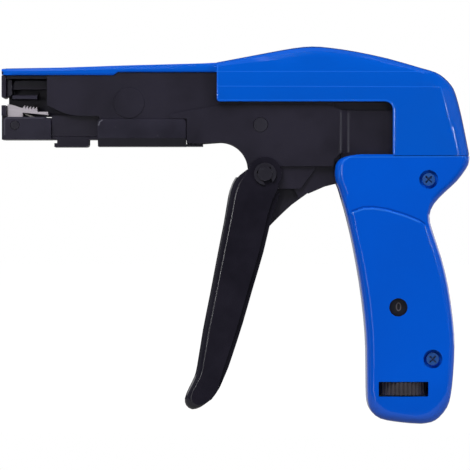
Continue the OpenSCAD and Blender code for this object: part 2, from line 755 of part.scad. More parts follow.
// Ledge over the pawl that the tie is pressed against
module strap_guide() {
    color("#34323c") {
        slab(-barrel_in + side_gap, barrel_gap - side_gap)
            translate([blade_back + side_gap, ledge_gap]) square([ledge_l, ledge_t]);
        slab(barrel_in - plate_t, plate_t)
            translate([blade_back + side_gap, ledge_gap]) square([ledge_l, 2 * ledge_t]);
    }
}

// Pins and rivets
module frame_rivet() {
    color("#2e2c36") {
        through(rivet_x, rivet_z, rivet_r, frame_out + rivet_proud);
        through(rivet_x, rivet_z, rivet_r + spacer_wall, barrel_in - fit_gap);
    }
}
module trigger_pin() {
    color("#3a3842") difference() {
        union() {
            through(pivot_x, pivot_z, trigger_pin_r, clip_y);
            through(pivot_x, pivot_z, clip_bore, clip_y + clip_t + fit_gap);
            for (s = [-1, 1]) across(pivot_x, pivot_z, trigger_pin_r,
                s * (clip_y + clip_t + fit_gap + pin_end / 2) - pin_end / 2, pin_end);
        }
    }
}
// Open retaining rings in the grooves of the trigger's pin
module retaining_clips() {
    color("#2e2c36") pair(clip_y + fit_gap / 2, clip_t) translate([pivot_x, pivot_z])
        difference() {
            circle(clip_r);
            circle(clip_bore + fit_gap);
            rotate(clip_turn) translate([0, -clip_r]) square([clip_mouth, 2 * clip_r],
                center = true);
            for (a = [30, 150]) rotate(clip_turn + a)
                translate([clip_bore + clip_gap_r, 0]) circle(clip_gap_r);
        }
}
module rocker_pin() {
    color("#55535c") through(rocker_x, rocker_z, rocker_pin_r, barrel_out);
}
module trip_pin() {
    color("#55535c") through(trip_x, trip_z, link_pin_r, barrel_in);
}
module cutter_pin() {
    color("#55535c") through(cutter_x, cutter_z, cutter_pin_r, barrel_in + pin_seat - fit_gap);
}
module drive_pin() {
    color("#55535c") through(drive_x, drive_z, link_pin_r, rocker_out);
}
module draw_pin() {
    color("#55535c") through(draw_x, draw_z, link_pin_r, rocker_out);
}
module draw_rivet() {
    color("#55535c") through(draw_rivet_x, pull_z, cutter_pin_r, rail_half);
}
module pawl_pin() {
    color("#3a3842") through(pawl_x, pawl_z, pawl_pin_r, barrel_out + rivet_proud);
}

// Trigger: front and rear edge of its channel under the ears, as shares of its length
// from the pivot
trigger_front_shares = [[-0.119, -0.006], [-0.135, -0.03], [-0.147, -0.06],
    [-0.157, -0.096], [-0.175, -0.204], [-0.205, -0.357], [-0.234, -0.51],
    [-0.264, -0.661], [-0.289, -0.814], [-0.302, -0.865], [-0.325, -0.912],
    [-0.341, -0.952], [-0.335, -0.982], [-0.31, -0.999], [-0.275, -0.99],
    [-0.243, -0.967]];
trigger_rear_shares = [[0.056, -0.06], [0.047, -0.075], [0.038, -0.095],
    [0.028, -0.118], [0.01, -0.176], [-0.026, -0.33], [-0.071, -0.483],
    [-0.113, -0.63], [-0.158, -0.77], [-0.175, -0.82], [-0.187, -0.86],
    [-0.193, -0.885], [-0.197, -0.905], [-0.205, -0.925], [-0.217, -0.942],
    [-0.23, -0.957]];
function trigger_line(shares) =
    curve(place(shares, pivot_x, pivot_z, trigger_l, trigger_l), edge_steps);
ear_front = arc(pivot_x, pivot_z, ear_r, 82, 160, 5);
ear_rear = arc(pivot_x, pivot_z, ear_r, 62, -42, 5);
trigger_front = concat(ear_front, trigger_line(trigger_front_shares));
trigger_rear = concat(ear_rear, trigger_line(trigger_rear_shares));
ear_rows = len(ear_front);
trigger_rows = len(trigger_front);
// Front edge moved back by d, or by nothing along the flat ears
function trigger_in(d, ears) = [for (i = [0 : trigger_rows - 1])
    trigger_front[i] + (i < ear_rows ? ears : 1) * d * unit(trigger_rear[i] - trigger_front[i])];
// Front edge from the shoulder to the tip, for the pieces inside the channel
function inner_line(d, first, end) = [for (i = [first : end]) trigger_in(d, 1)[i]];
module channel_room(depth, half) {
    last = trigger_rows - 4;
    behind = 6 * plate_t;
    slab(-half, 2 * half) polygon(concat(
        [[pivot_x - ear_r - 2 * behind, pivot_z + 2 * ear_r]],
        [trigger_in(depth, 1)[ear_rows] - [2 * behind, 0]],
        inner_line(depth, ear_rows, last),
        [trigger_rear[last] + [behind, behind / 2],
            [pivot_x + ear_r + behind, pivot_z - ear_r],
            [pivot_x + ear_r + behind, pivot_z + 2 * ear_r]]));
}
module trigger() {
    color("#1c1a20") difference() {
        loft([for (q = concat([for (q = reversed(quarter(trigger_round))) [-1, q]],
            [for (q = quarter(trigger_round)) [1, q]]))
            [q[0] * (trigger_out + q[1][0]), trigger_in(q[1][1], 0), trigger_rear]]);
        channel_room(trigger_round * 0.73, ear_in);
        channel_room(plate_t, ear_in - plate_t);
        through(pivot_x, pivot_z, trigger_pin_r + fit_gap, 2 * trigger_out);
    }
}
// Inner channel of the trigger, nested in the outer one and standing out behind it
module trigger_liner() {
    first = ear_rows + 3;
    end = trigger_rows - 5;
    web = inner_line(trigger_round + seat_gap, first, end);
    half = ear_in - seat_gap;
    rear = [for (i = [first : end]) let (fade = min(1, (end - i) / liner_fade))
        trigger_rear[i] + [liner_step * fade, 0]];
    color("#1c1a20") {
        slab(-half + over, 2 * (half - over)) polygon(concat(web,
            reversed(inner_line(trigger_round + seat_gap + plate_t, first, end))));
        pair(half - plate_t, plate_t) polygon(concat(web, reversed(rear)));
    }
}
arm_shares = [[0.012, -0.229], [0.045, -0.195], [0.08, -0.161], [0.113, -0.131],
    [0.147, -0.106]];
module trigger_arm() {
    eye_r = 2 * link_pin_r;
    first = ear_rows + 9;
    web = inner_line(trigger_round + 2 * seat_gap + plate_t, first, first + 4);
    color("#24222b") slab(-bar_half, 2 * bar_half) difference() {
        union() {
            polygon(concat(place(arm_shares, pivot_x, pivot_z, trigger_l, trigger_l),
                [[drive_x, drive_z - eye_r * 0.98], [drive_x, drive_z + eye_r * 0.98],
                    [pivot_x, pivot_z + ear_r - 2 * lobe_margin],
                    [pivot_x - ear_r + 2 * lobe_margin, pivot_z]], web));
            circle_at(pivot_x, pivot_z, ear_r - lobe_margin);
            circle_at(drive_x, drive_z, eye_r);
        }
        circle_at(pivot_x, pivot_z, trigger_pin_r + fit_gap);
        circle_at(drive_x, drive_z, link_pin_r);
    }
}

// Bell crank: one fork takes the trigger's drive pin, the other the draw bar's pin
module rocker_cheek() {
    hub_r = 2 * rocker_pin_r;
    slot_half = link_pin_r + side_gap;
    difference() {
        union() {
            circle(hub_r);
            for (f = forks) rotate(f[0]) polygon([[0, hub_r * 0.9], [f[2], fork_half],
                [f[2], -fork_half], [0, -hub_r * 0.9]]);
        }
        circle(rocker_pin_r + fit_gap);
        for (f = forks) rotate(f[0]) polygon(concat(arc(f[1], 0, slot_half, 90, 270, 8),
            [[2 * f[2], -slot_half], [2 * f[2], slot_half]]));
    }
}
module drive_rocker() {
    color("#3c3a44") {
        pair(rocker_in, rocker_t) translate([rocker_x, rocker_z]) rocker_cheek();
        difference() {
            through(rocker_x, rocker_z, 2 * rocker_pin_r - side_gap, rocker_in + fit_gap);
            through(rocker_x, rocker_z, rocker_pin_r + fit_gap, rocker_out);
        }
    }
}
// Bar that pulls the gripper carriage back
module draw_bar() {
    half = bar_half - fit_gap;
    rise_end = bar_rise_x + bar_rise_l;
    channel_x = carriage_x + carriage_l + seat_gap;
    channel_half = barrel_in - side_gap;
    channel_low = -barrel_drop + plate_t - fit_gap;
    color("#3c3a44") difference() {
        union() {
            slab(-half, 2 * half) polygon([[bar_front_x, pull_z - bar_h / 2],
                [bar_front_x, pull_z + bar_h / 2], [bar_rise_x, pull_z + bar_h / 2],
                [rise_end, bar_rear_top], [draw_x, bar_rear_top],
                [draw_x, bar_rear_top - bar_rear_h], [rise_end, bar_rear_top - bar_rear_h],
                [bar_rise_x + bar_h / 2, pull_z - bar_h / 2]]);
            through(draw_x, draw_z, 2 * link_pin_r, half + eye_proud);
            pair(channel_half - plate_t, plate_t) polygon([[channel_x, channel_low],
                [channel_x, channel_top], [channel_rear_x - bar_h, channel_top],
                [channel_rear_x, channel_low + plate_t], [channel_rear_x, channel_low]]);
            slab(-channel_half, 2 * channel_half) translate([channel_x, channel_low])
                square([channel_rear_x - channel_x, plate_t]);
        }
        through(draw_x, draw_z, link_pin_r, 2 * half);
        through(draw_rivet_x, pull_z, cutter_pin_r, 2 * half);
    }
}
// Carriage of the gripper: two rounded side plates on a floor, and a block at the rear
module gripper_carriage() {
    top = -throat_floor - side_gap;
    floor_z = -barrel_drop + plate_t;
    color("#333039") difference() {
        union() {
            pair(barrel_in, plate_t) polygon(concat(
                [[carriage_x, -barrel_drop]],
                arc(carriage_x + carriage_round, top - carriage_round, carriage_round,
                    180, 90, 4),
                arc(carriage_x + carriage_l - carriage_big_round, top - carriage_big_round,
                    carriage_big_round, 90, 0, 6),
                [[carriage_x + carriage_l, -barrel_drop]]));
            slab(-barrel_in, barrel_gap) {
                translate([blade_x, floor_z]) square([carriage_x + carriage_l - blade_x,
                    carriage_floor_t]);
                translate([block_x, floor_z]) square([carriage_x + carriage_l - block_x,
                    top - floor_z - side_gap]);
            }
        }
        slab(-bar_half, 2 * bar_half)
            translate([bar_front_x - side_gap, pull_z - bar_h / 2 - fit_gap])
            square([carriage_l, bar_h + 2 * fit_gap]);
        through(pawl_x, pawl_z, pawl_pin_r + fit_gap, 2 * barrel_out);
        through(draw_rivet_x, pull_z, cutter_pin_r, rail_half);
    }
}
// Gripper pawl: a toothed bar on a lug, with a row of teeth that lean to the rear
module gripper_pawl() {
    pitch = teeth_l / pawl_teeth;
    drop = teeth_l * tan(teeth_slope) / pawl_teeth;
    teeth = [for (i = [0 : pawl_teeth - 1]) each [
        [teeth_x + i * pitch, teeth_z - i * drop - tooth_h],
        [teeth_x + (i + 0.75) * pitch, teeth_z - i * drop],
        [teeth_x + (i + 0.85) * pitch, teeth_z - i * drop - tooth_h / 2]]];
    color("#bcb8be") difference() {
        union() {
            slab(-pawl_w / 2, pawl_w) polygon(concat([[pawl_front_x, pawl_tip_z]],
                [[blade_back - side_gap, pawl_tip_z], [pawl_dip_x, pawl_dip_z]], teeth,
                [[teeth_x + teeth_l, pawl_tail_z], [pawl_tail_x, pawl_tail_z],
                    [pawl_tail_x, pawl_tail_z - pawl_tail_t],
                    [pawl_x + pawl_lug_r, pawl_tip_z - pawl_bar_t],
                    [pawl_x + pawl_lug_r, pawl_z], [pawl_x - pawl_lug_r, pawl_z],
                    [pawl_front_x, pawl_tip_z - pawl_bar_t]]));
            through(pawl_x, pawl_z, pawl_lug_r, pawl_w / 2 - eye_proud);
        }
        through(pawl_x, pawl_z, pawl_pin_r + fit_gap, pawl_w);
    }
}
// Leaf spring that lifts the pawl's tail
module pawl_spring() {
    low = -throat_floor - 2 * side_gap;
    top = pawl_tip_z - pawl_bar_t - side_gap;
    color("#a8a6ac") slab(-pawl_w / 2 + side_gap, pawl_w - 2 * side_gap) polygon([
        [leaf_x, top], [leaf_x, top - leaf_t],
        [block_x - side_gap, low], [block_x + leaf_hold, low],
        [block_x + leaf_hold, low + leaf_t], [block_x, low + leaf_t]]);
}

// Cutter blade with a window for the lever's tip and an edge ground on its rear face
module cutter_blade() {
    top = barrel_top - plate_t - side_gap;
    low = slot_h / 2 + side_gap;
    color("#8c8a92") difference() {
        slab(-blade_half, 2 * blade_half) polygon([[blade_x, low], [blade_x, top],
            [blade_back, top], [blade_back, low + blade_t / 2]]);
        translate([blade_x - over, -lever_half - seat_gap, lever_tip_z - lever_tip_h / 2 - seat_gap])
            cube([blade_t + 2 * over, 2 * (lever_half + seat_gap), lever_tip_h + 2 * seat_gap]);
    }
}
// Long lever that drives the blade down as its tail is lifted
module cutter_lever() {
    color("#3c3a44") slab(-lever_half, 2 * lever_half) difference() {
        union() {
            polygon([[blade_x + over, lever_tip_z - lever_tip_h / 2],
                [blade_x + over, lever_tip_z + lever_tip_h / 2],
                [blade_back + over, lever_tip_z + lever_tip_h / 2],
                [blade_back + 2 * over, cutter_z + lever_h / 2],
                [cutter_x + lever_h, cutter_z + lever_h / 2],
                [cutter_x + 3 * lever_h, tail_top], [tail_x, tail_top],
                [tail_x, tail_top - tongue_t], [tail_x - tongue_l, tail_top - tongue_t],
                [tail_x - tongue_l, tail_low], [cutter_x + 3 * lever_h, tail_low],
                [cutter_x + lever_h, cutter_z - lever_h / 2],
                [blade_back + 2 * over, cutter_z - lever_h / 2],
                [blade_back + over, lever_tip_z - lever_tip_h / 2]]);
            circle_at(cutter_x, cutter_z, lever_h / 2);
        }
        circle_at(cutter_x, cutter_z, cutter_pin_r + fit_gap);
    }
}
// Rocker between the tension plunger and the cutter lever
module trip_rocker() {
    hub_r = 2 * link_pin_r;
    tip_top = tail_top - tongue_t - side_gap;
    color("#3c3a44") difference() {
        union() {
            slab(-lever_half, 2 * lever_half) polygon([[tip_x, tail_low], [tip_x, tip_top],
                [tail_x + side_gap, tip_top], [tail_x + 2 * side_gap, trip_z],
                [trip_x, trip_z + hub_r * 0.9], [axis_x + hub_r, trip_z],
                [axis_x + hub_r, tail_low], [trip_x, trip_z - hub_r * 0.9], [trip_x, tail_low]]);
            through(trip_x, trip_z, hub_r, lever_half + side_gap);
        }
        through(trip_x, trip_z, link_pin_r + fit_gap, 2 * lever_half);
    }
}

// Helix round an axis: radius, height and turns, with straight ends one wire long
function helix(r, h, turns) = [for (i = [0 : 8 * turns])
    [r * cos(45 * i), r * sin(45 * i), h * i / (8 * turns)]];
// Torsion spring round the trigger's pin that brings the trigger back
module return_spring() {
    r = trigger_pin_r + return_wire + fit_gap * 4;
    rise = barrel_in - bar_half - 2 * side_gap - return_wire;
    coil = [for (p = helix(r, rise, return_turns)) [pivot_x + p[0],
        bar_half + side_gap + return_wire / 2 + p[2], pivot_z + p[1]]];
    n = len(coil) - 1;
    a = coil[0] - [0, 0, return_leg];
    b = coil[n] - [return_leg, 0, 0];
    echo(return_gap = rise / return_turns - return_wire);
    color("#8c8a92") wire(concat([a], coil, [b]), return_wire / 2, 6);
}
// Block in the rear of the frame that guides the plunger
module spring_guide() {
    color("#3c3a44") difference() {
        translate([axis_x - guide_w / 2, -barrel_in, guide_z]) cube([guide_w, barrel_gap, guide_h]);
        translate([axis_x, 0, guide_z - over]) cylinder(r = plunger_r + fit_gap, h = guide_h + 2 * over);
    }
}
// Plunger that the tension spring presses up against the trip rocker
module plunger() {
    color("#55535c") {
        translate([axis_x, 0, plunger_z]) cylinder(r = plunger_r, h = tail_low - side_gap - plunger_z);
        translate([axis_x, 0, plunger_z]) cylinder(r = spring_r + tension_wire / 2, h = plate_t);
    }
}
module tension_spring() {
    free = plunger_z - nut_top - 2 * seat_gap;
    wire_r = tension_wire / 2;
    low = nut_top + seat_gap + wire_r;
    coil = [for (p = helix(spring_r, free - 2 * wire_r, tension_turns))
        [axis_x + p[0], p[1], low + p[2]]];
    n = len(coil) - 1;
    echo(least_gap = (free - 2 * wire_r) / tension_turns - tension_wire);
    color("#9a989e") wire(concat([coil[0] - [0, tension_wire, 0]], coil,
        [coil[n] + [0, tension_wire, 0]]), wire_r, 6);
}
// Nut that the screw raises, and the numbered strip that it carries past the window
module tension_nut() {
    color("#9a8a50") difference() {
        translate([axis_x - nut_w / 2, -nut_half, nut_z]) cube([nut_w, 2 * nut_half, nut_h]);
        translate([axis_x, 0, nut_z - over]) cylinder(r = screw_r + fit_gap, h = nut_h + 2 * over);
    }
}
module indicator_strip() {
    color("#1c1c20") translate([window_x - strip_w / 2, -nut_half - strip_t, nut_z])
        cube([strip_w, strip_t, window_z + window_r + over - nut_z]);
}
module adjusting_screw() {
    color("#9a989e") {
        translate([axis_x, 0, wheel_z - screw_foot]) cylinder(r = screw_r, h = screw_l);
        translate([axis_x, 0, wheel_z - screw_foot + screw_l])
            cylinder(r1 = screw_r, r2 = screw_r / 2, h = screw_r / 2);
    }
}
// Knurled wheel: ribs all round its rim
module thumbwheel() {
    color("#3a3534") difference() {
        translate([axis_x, 0, wheel_z]) linear_extrude(wheel_h) difference() {
            polygon([for (i = [0 : wheel_ribs - 1]) for (s = rib_shares)
                let (a = 360 * (i + s[0]) / wheel_ribs) (wheel_r - s[1] * rib_depth)
                    * [cos(a), sin(a)]]);
            circle(screw_r);
        }
    }
}
module thrust_washer() {
    color("#9a989e") translate([axis_x, 0, wheel_z + wheel_h + fit_gap])
        difference() {
            cylinder(r = 2 * screw_r, h = plate_t);
            translate([0, 0, -over]) cylinder(r = screw_r + fit_gap, h = plate_t + 2 * over);
        }
}

top_cover();
grip_shell_near();
grip_shell_far();
grip_screws();
frame_plate_near();
frame_plate_far();
barrel_plate_near();
barrel_plate_far();
link_plate_near();
link_plate_far();
top_rail();
guide_rail();
barrel_saddle();
strap_guide();
frame_rivet();
trigger_pin();
retaining_clips();
rocker_pin();
trip_pin();
cutter_pin();
spring_guide();
trigger();
trigger_liner();
trigger_arm();
drive_pin();
drive_rocker();
draw_bar();
draw_pin();
draw_rivet();
gripper_carriage();
pawl_pin();
gripper_pawl();
pawl_spring();
cutter_blade();
cutter_lever();
trip_rocker();
return_spring();
plunger();
tension_spring();
tension_nut();
indicator_strip();
adjusting_screw();
thumbwheel();
thrust_washer();
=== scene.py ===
import json
from functools import reduce
from math import radians

import bmesh
import bpy
from mathutils import Matrix, Vector


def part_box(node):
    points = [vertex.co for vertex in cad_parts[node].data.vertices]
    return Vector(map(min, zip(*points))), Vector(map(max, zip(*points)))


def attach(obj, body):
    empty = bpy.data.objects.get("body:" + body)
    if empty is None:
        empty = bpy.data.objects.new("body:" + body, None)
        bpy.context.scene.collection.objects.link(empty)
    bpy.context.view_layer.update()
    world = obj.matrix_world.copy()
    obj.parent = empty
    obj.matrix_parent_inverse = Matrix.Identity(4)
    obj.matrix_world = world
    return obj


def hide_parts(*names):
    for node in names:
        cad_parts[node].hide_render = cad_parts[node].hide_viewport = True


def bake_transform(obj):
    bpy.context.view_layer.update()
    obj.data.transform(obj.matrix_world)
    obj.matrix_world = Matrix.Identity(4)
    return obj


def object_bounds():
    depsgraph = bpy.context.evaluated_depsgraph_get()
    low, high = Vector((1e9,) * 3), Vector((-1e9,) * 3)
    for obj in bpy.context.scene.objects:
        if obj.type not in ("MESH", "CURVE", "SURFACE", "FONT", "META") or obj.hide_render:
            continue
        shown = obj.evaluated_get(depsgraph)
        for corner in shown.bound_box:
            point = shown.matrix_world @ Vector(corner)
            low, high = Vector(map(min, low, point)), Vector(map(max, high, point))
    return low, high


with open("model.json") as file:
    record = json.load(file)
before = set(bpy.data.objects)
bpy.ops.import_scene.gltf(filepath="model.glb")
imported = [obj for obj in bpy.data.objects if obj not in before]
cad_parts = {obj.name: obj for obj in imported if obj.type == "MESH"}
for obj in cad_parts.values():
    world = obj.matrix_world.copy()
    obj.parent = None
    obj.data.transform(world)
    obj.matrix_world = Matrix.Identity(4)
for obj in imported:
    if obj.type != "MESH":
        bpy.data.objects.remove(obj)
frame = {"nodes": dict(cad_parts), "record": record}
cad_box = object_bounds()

MM = 0.001
nodes = frame["nodes"]
scene = bpy.context.scene

# --- Camera and studio ---
# The photograph looks straight at the near side of the tool, along +Y
VIEW_CENTRE = Vector((82.4, 0, -47.0)) * MM
VIEW_WIDTH = 165.4 * MM
# How far the near side of the barrel stands in front of the tool's middle
NEAR_FACE = 6 * MM
CAMERA_AWAY = 1.1
SENSOR = 36.0
WHITE = (1, 1, 1, 1)
# The light tent is bright all round the sides, and dim in front and behind. It fades between
# the two given shares of Y in the direction of a look
TENT_COLOUR = (0.90, 0.95, 1.0, 1)
TENT_SIDES, TENT_ENDS = 0.20, 0.03
TENT_FADE = (0.20, 0.65)
# The floor ends close in front of the tool, whose upright faces would mirror it
FLOOR_HALF, FLOOR_FRONT = 3.0, 0.05
FLOOR_GAP = 0.2 * MM
FLOOR_COLOUR = (0.04, 0.04, 0.04, 1)
# How brightly the floor glows, for the camera and for what it lights
FLOOR_SEEN, FLOOR_GLOW = 1.0, 0.35
# Place and size in metres, power, and whether glossy surfaces mirror it
SOFTBOXES = (
    ("key softbox", (-0.20, -0.55, 0.60), (0.6, 0.4), 10.2, False),
    ("fill softbox", (0.95, -0.60, 0.10), (0.5, 0.8), 6.0, False),
    ("left strip", (-0.27, -1.00, -0.10), (0.11, 0.60), 0.45, True),
    ("left window", (-0.26, -1.00, 0.03), (0.06, 0.08), 0.25, True),
    ("right window", (0.475, -1.00, 0.07), (0.045, 0.07), 0.45, True),
    ("top strip", (0.10, -0.45, 0.85), (0.8, 0.10), 0.25, True),
    ("low strip", (0.08, -0.90, -0.42), (0.7, 0.10), 0.8, True),
    ("rear key", (-0.20, 0.60, 0.60), (0.6, 0.4), 7.5, False),
    ("rear softbox", (-0.55, 0.8, 0.45), (0.9, 0.7), 3.0, True),
    ("rear fill", (0.9, 0.7, 0.1), (0.6, 0.9), 3.0, True),
)


def make_camera():
    data = bpy.data.cameras.new("camera")
    data.sensor_width = SENSOR
    data.lens = SENSOR * CAMERA_AWAY / VIEW_WIDTH
    data.clip_start = 0.01
    camera = bpy.data.objects.new("camera", data)
    scene.collection.objects.link(camera)
    camera.location = VIEW_CENTRE + Vector((0, -CAMERA_AWAY - NEAR_FACE, 0))
    camera.rotation_euler = (radians(90), 0, 0)
    scene.camera = camera


def make_light(name, place, size, watts, mirrored):
    data = bpy.data.lights.new(name, "AREA")
    data.shape = "RECTANGLE"
    data.size, data.size_y = size
    data.energy = watts
    lamp = bpy.data.objects.new(name, data)
    scene.collection.objects.link(lamp)
    lamp.location = place
    lamp.visible_glossy = mirrored
    aim = VIEW_CENTRE - Vector(place)
    lamp.rotation_euler = aim.to_track_quat("-Z", "Y").to_euler()


def make_tent():
    """Light tent round the tool, which the camera sees as plain white."""
    world = bpy.data.worlds.new("studio")
    world.use_nodes = True
    scene.world = world
    tree = world.node_tree
    tree.nodes.clear()
    seen = tree.nodes.new("ShaderNodeBackground")
    seen.inputs["Color"].default_value = WHITE
    around = tree.nodes.new("ShaderNodeBackground")
    around.inputs["Color"].default_value = TENT_COLOUR
    heading = tree.nodes.new("ShaderNodeSeparateXYZ")
    plug(tree, tree.nodes.new("ShaderNodeTexCoord").outputs["Generated"],
         heading.inputs["Vector"])
    ahead = maths(tree, "ABSOLUTE", heading.outputs["Y"])
    plug(tree, ramp(tree, ahead, *TENT_FADE, TENT_SIDES, TENT_ENDS), around.inputs["Strength"])
    mix = tree.nodes.new("ShaderNodeMixShader")
    camera_ray = tree.nodes.new("ShaderNodeLightPath").outputs["Is Camera Ray"]
    plug(tree, camera_ray, mix.inputs["Fac"])
    plug(tree, around.outputs["Background"], mix.inputs[1])
    plug(tree, seen.outputs["Background"], mix.inputs[2])
    out = tree.nodes.new("ShaderNodeOutputWorld")
    plug(tree, mix.outputs["Shader"], out.inputs["Surface"])


def make_floor():
    lowest = cad_box[0][2] - FLOOR_GAP
    mesh = bpy.data.meshes.new("floor")
    bm = bmesh.new()
    bmesh.ops.create_grid(
        bm, x_segments=1, y_segments=1, size=FLOOR_HALF,
        matrix=Matrix.Translation((VIEW_CENTRE.x, FLOOR_HALF - FLOOR_FRONT, lowest)))
    bm.to_mesh(mesh)
    bm.free()
    floor = bpy.data.objects.new("floor", mesh)
    scene.collection.objects.link(floor)
    material, shader, tree = new_material("floor white")
    shader.inputs["Base Color"].default_value = FLOOR_COLOUR
    shader.inputs["Roughness"].default_value = 0.9
    shader.inputs["Specular IOR Level"].default_value = 0.0
    shader.inputs["Emission Color"].default_value = WHITE
    camera_ray = tree.nodes.new("ShaderNodeLightPath").outputs["Is Camera Ray"]
    plug(tree, ramp(tree, camera_ray, 0, 1, FLOOR_GLOW, FLOOR_SEEN),
         shader.inputs["Emission Strength"])
    mesh.materials.append(material)


def make_studio():
    make_tent()
    for softbox in SOFTBOXES:
        make_light(*softbox)
    make_floor()
    scene.view_settings.view_transform = "Standard"


# --- Nodes of the materials ---
def new_material(name):
    material = bpy.data.materials.new(name)
    material.use_nodes = True
    tree = material.node_tree
    return material, tree.nodes["Principled BSDF"], tree


def plug(tree, value, socket):
    """Link another node's output to the socket, or set the socket to a plain value."""
    if isinstance(value, bpy.types.NodeSocket):
        tree.links.new(value, socket)
    else:
        socket.default_value = value


def maths(tree, operation, *values):
    node = tree.nodes.new("ShaderNodeMath")
    node.operation = operation
    for value, socket in zip(values, node.inputs):
        plug(tree, value, socket)
    return node.outputs["Value"]


def vector_maths(tree, operation, a, b, result="Vector"):
    node = tree.nodes.new("ShaderNodeVectorMath")
    node.operation = operation
    plug(tree, a, node.inputs[0])
    plug(tree, b, node.inputs["Scale" if operation == "SCALE" else 1])
    return node.outputs[result]


def noise(tree, vector, scale, detail=2.0, rough=0.5):
    node = tree.nodes.new("ShaderNodeTexNoise")
    for label, value in (("Vector", vector), ("Scale", scale), ("Detail", detail),
                         ("Roughness", rough)):
        plug(tree, value, node.inputs[label])
    return node.outputs["Fac"]


def ramp(tree, value, low, high, to_low=0.0, to_high=1.0):
    node = tree.nodes.new("ShaderNodeMapRange")
    for label, number in (("Value", value), ("From Min", low), ("From Max", high),
                          ("To Min", to_low), ("To Max", to_high)):
        plug(tree, number, node.inputs[label])
    return node.outputs["Result"]


def mixed(tree, factor, *colours):
    """Colour between two colours, by the factor."""
    node = tree.nodes.new("ShaderNodeMix")
    node.data_type = "RGBA"
    plug(tree, factor, node.inputs["Factor"])
    for colour, socket in zip(colours, [s for s in node.inputs if s.type == "RGBA"]):
        plug(tree, colour, socket)
    return next(s for s in node.outputs if s.type == "RGBA")


def surface_coords(tree):
    return tree.nodes.new("ShaderNodeTexCoord").outputs["Object"]


def add_bump(tree, shader, height, depth):
    """Relief of the given depth in millimetres."""
    bump = tree.nodes.new("ShaderNodeBump")
    bump.inputs["Distance"].default_value = depth * MM
    plug(tree, height, bump.inputs["Height"])
    plug(tree, bump.outputs["Normal"], shader.inputs["Normal"])


# --- Effects that several finishes share ---
def new_group(name, inputs, outputs):
    """Shader node group with named inputs and their first values, and float outputs."""
    tree = bpy.data.node_groups.new(name, "ShaderNodeTree")
    for label, value in inputs:
        kind = "NodeSocketVector" if isinstance(value, Vector) else "NodeSocketFloat"
        socket = tree.interface.new_socket(label, in_out="INPUT", socket_type=kind)
        socket.default_value = value
    for label in outputs:
        tree.interface.new_socket(label, in_out="OUTPUT", socket_type="NodeSocketFloat")
    given = tree.nodes.new("NodeGroupInput").outputs
    return tree, given, tree.nodes.new("NodeGroupOutput").inputs


def place_group(tree, group, **values):
    node = tree.nodes.new("ShaderNodeGroup")
    node.node_tree = group
    for label, value in values.items():
        node.inputs[label].default_value = value
    return node.outputs


def handling_group():
    """Soft smudges from handling: a roughness that wanders, and a shade mask."""
    tree, given, put = new_group(
        "handling", [("Smooth", 0.3), ("Dull", 0.45), ("Scale", 40.0)], ["Roughness", "Mask"])
    broad = noise(tree, surface_coords(tree), given["Scale"], detail=3.0, rough=0.6)
    plug(tree, ramp(tree, broad, 0.3, 0.7, given["Smooth"], given["Dull"]), put["Roughness"])
    plug(tree, ramp(tree, broad, 0.35, 0.65), put["Mask"])
    return tree


def grain_group():
    """Height of a fine surface grain, with a broader waviness under it."""
    tree, given, put = new_group(
        "surface grain", [("Fine", 2500.0), ("Broad", 120.0), ("Share", 0.3)], ["Height"])
    coords = surface_coords(tree)
    both = tree.nodes.new("ShaderNodeMix")
    plug(tree, given["Share"], both.inputs["Factor"])
    plug(tree, noise(tree, coords, given["Fine"], detail=4.0, rough=0.6), both.inputs["A"])
    plug(tree, noise(tree, coords, given["Broad"]), both.inputs["B"])
    plug(tree, both.outputs["Result"], put["Height"])
    return tree


def rubbed_group():
    """Mask of small rubbed specks and faint drawn lines on a dark metal finish."""
    tree, given, put = new_group("rubbed metal", [("Amount", 0.5)], ["Mask", "Lines"])
    coords = surface_coords(tree)
    drawn_out = tree.nodes.new("ShaderNodeMapping")
    drawn_out.inputs["Scale"].default_value = (0.05, 1.0, 1.0)
    plug(tree, coords, drawn_out.inputs["Vector"])
    lines = noise(tree, drawn_out.outputs["Vector"], scale=2200.0, detail=3.0, rough=0.6)
    specks = noise(tree, coords, scale=700.0, detail=5.0, rough=0.7)
    plug(tree, ramp(tree, specks, 0.62, 0.75, 0.0, given["Amount"]), put["Mask"])
    plug(tree, lines, put["Lines"])
    return tree


def line_group():
    """Mask of a fine straight line between two places, seen from the side of the tool."""
    tree, given, put = new_group(
        "side line", [("From", Vector()), ("To", Vector()), ("Width", 0.3 * MM)], ["Mask"])
    flat = vector_maths(tree, "MULTIPLY", surface_coords(tree), (1, 0, 1))
    reach = vector_maths(tree, "SUBTRACT", given["To"], given["From"])
    offset = vector_maths(tree, "SUBTRACT", flat, given["From"])
    share = maths(tree, "DIVIDE",
                  vector_maths(tree, "DOT_PRODUCT", offset, reach, "Value"),
                  vector_maths(tree, "DOT_PRODUCT", reach, reach, "Value"))
    share.node.use_clamp = True
    nearest = vector_maths(tree, "SCALE", reach, share)
    away = vector_maths(tree, "DISTANCE", offset, nearest, "Value")
    plug(tree, ramp(tree, away, 0, given["Width"], 1, 0), put["Mask"])
    return tree


HANDLING = handling_group()
GRAIN = grain_group()
RUBBED = rubbed_group()
LINE = line_group()


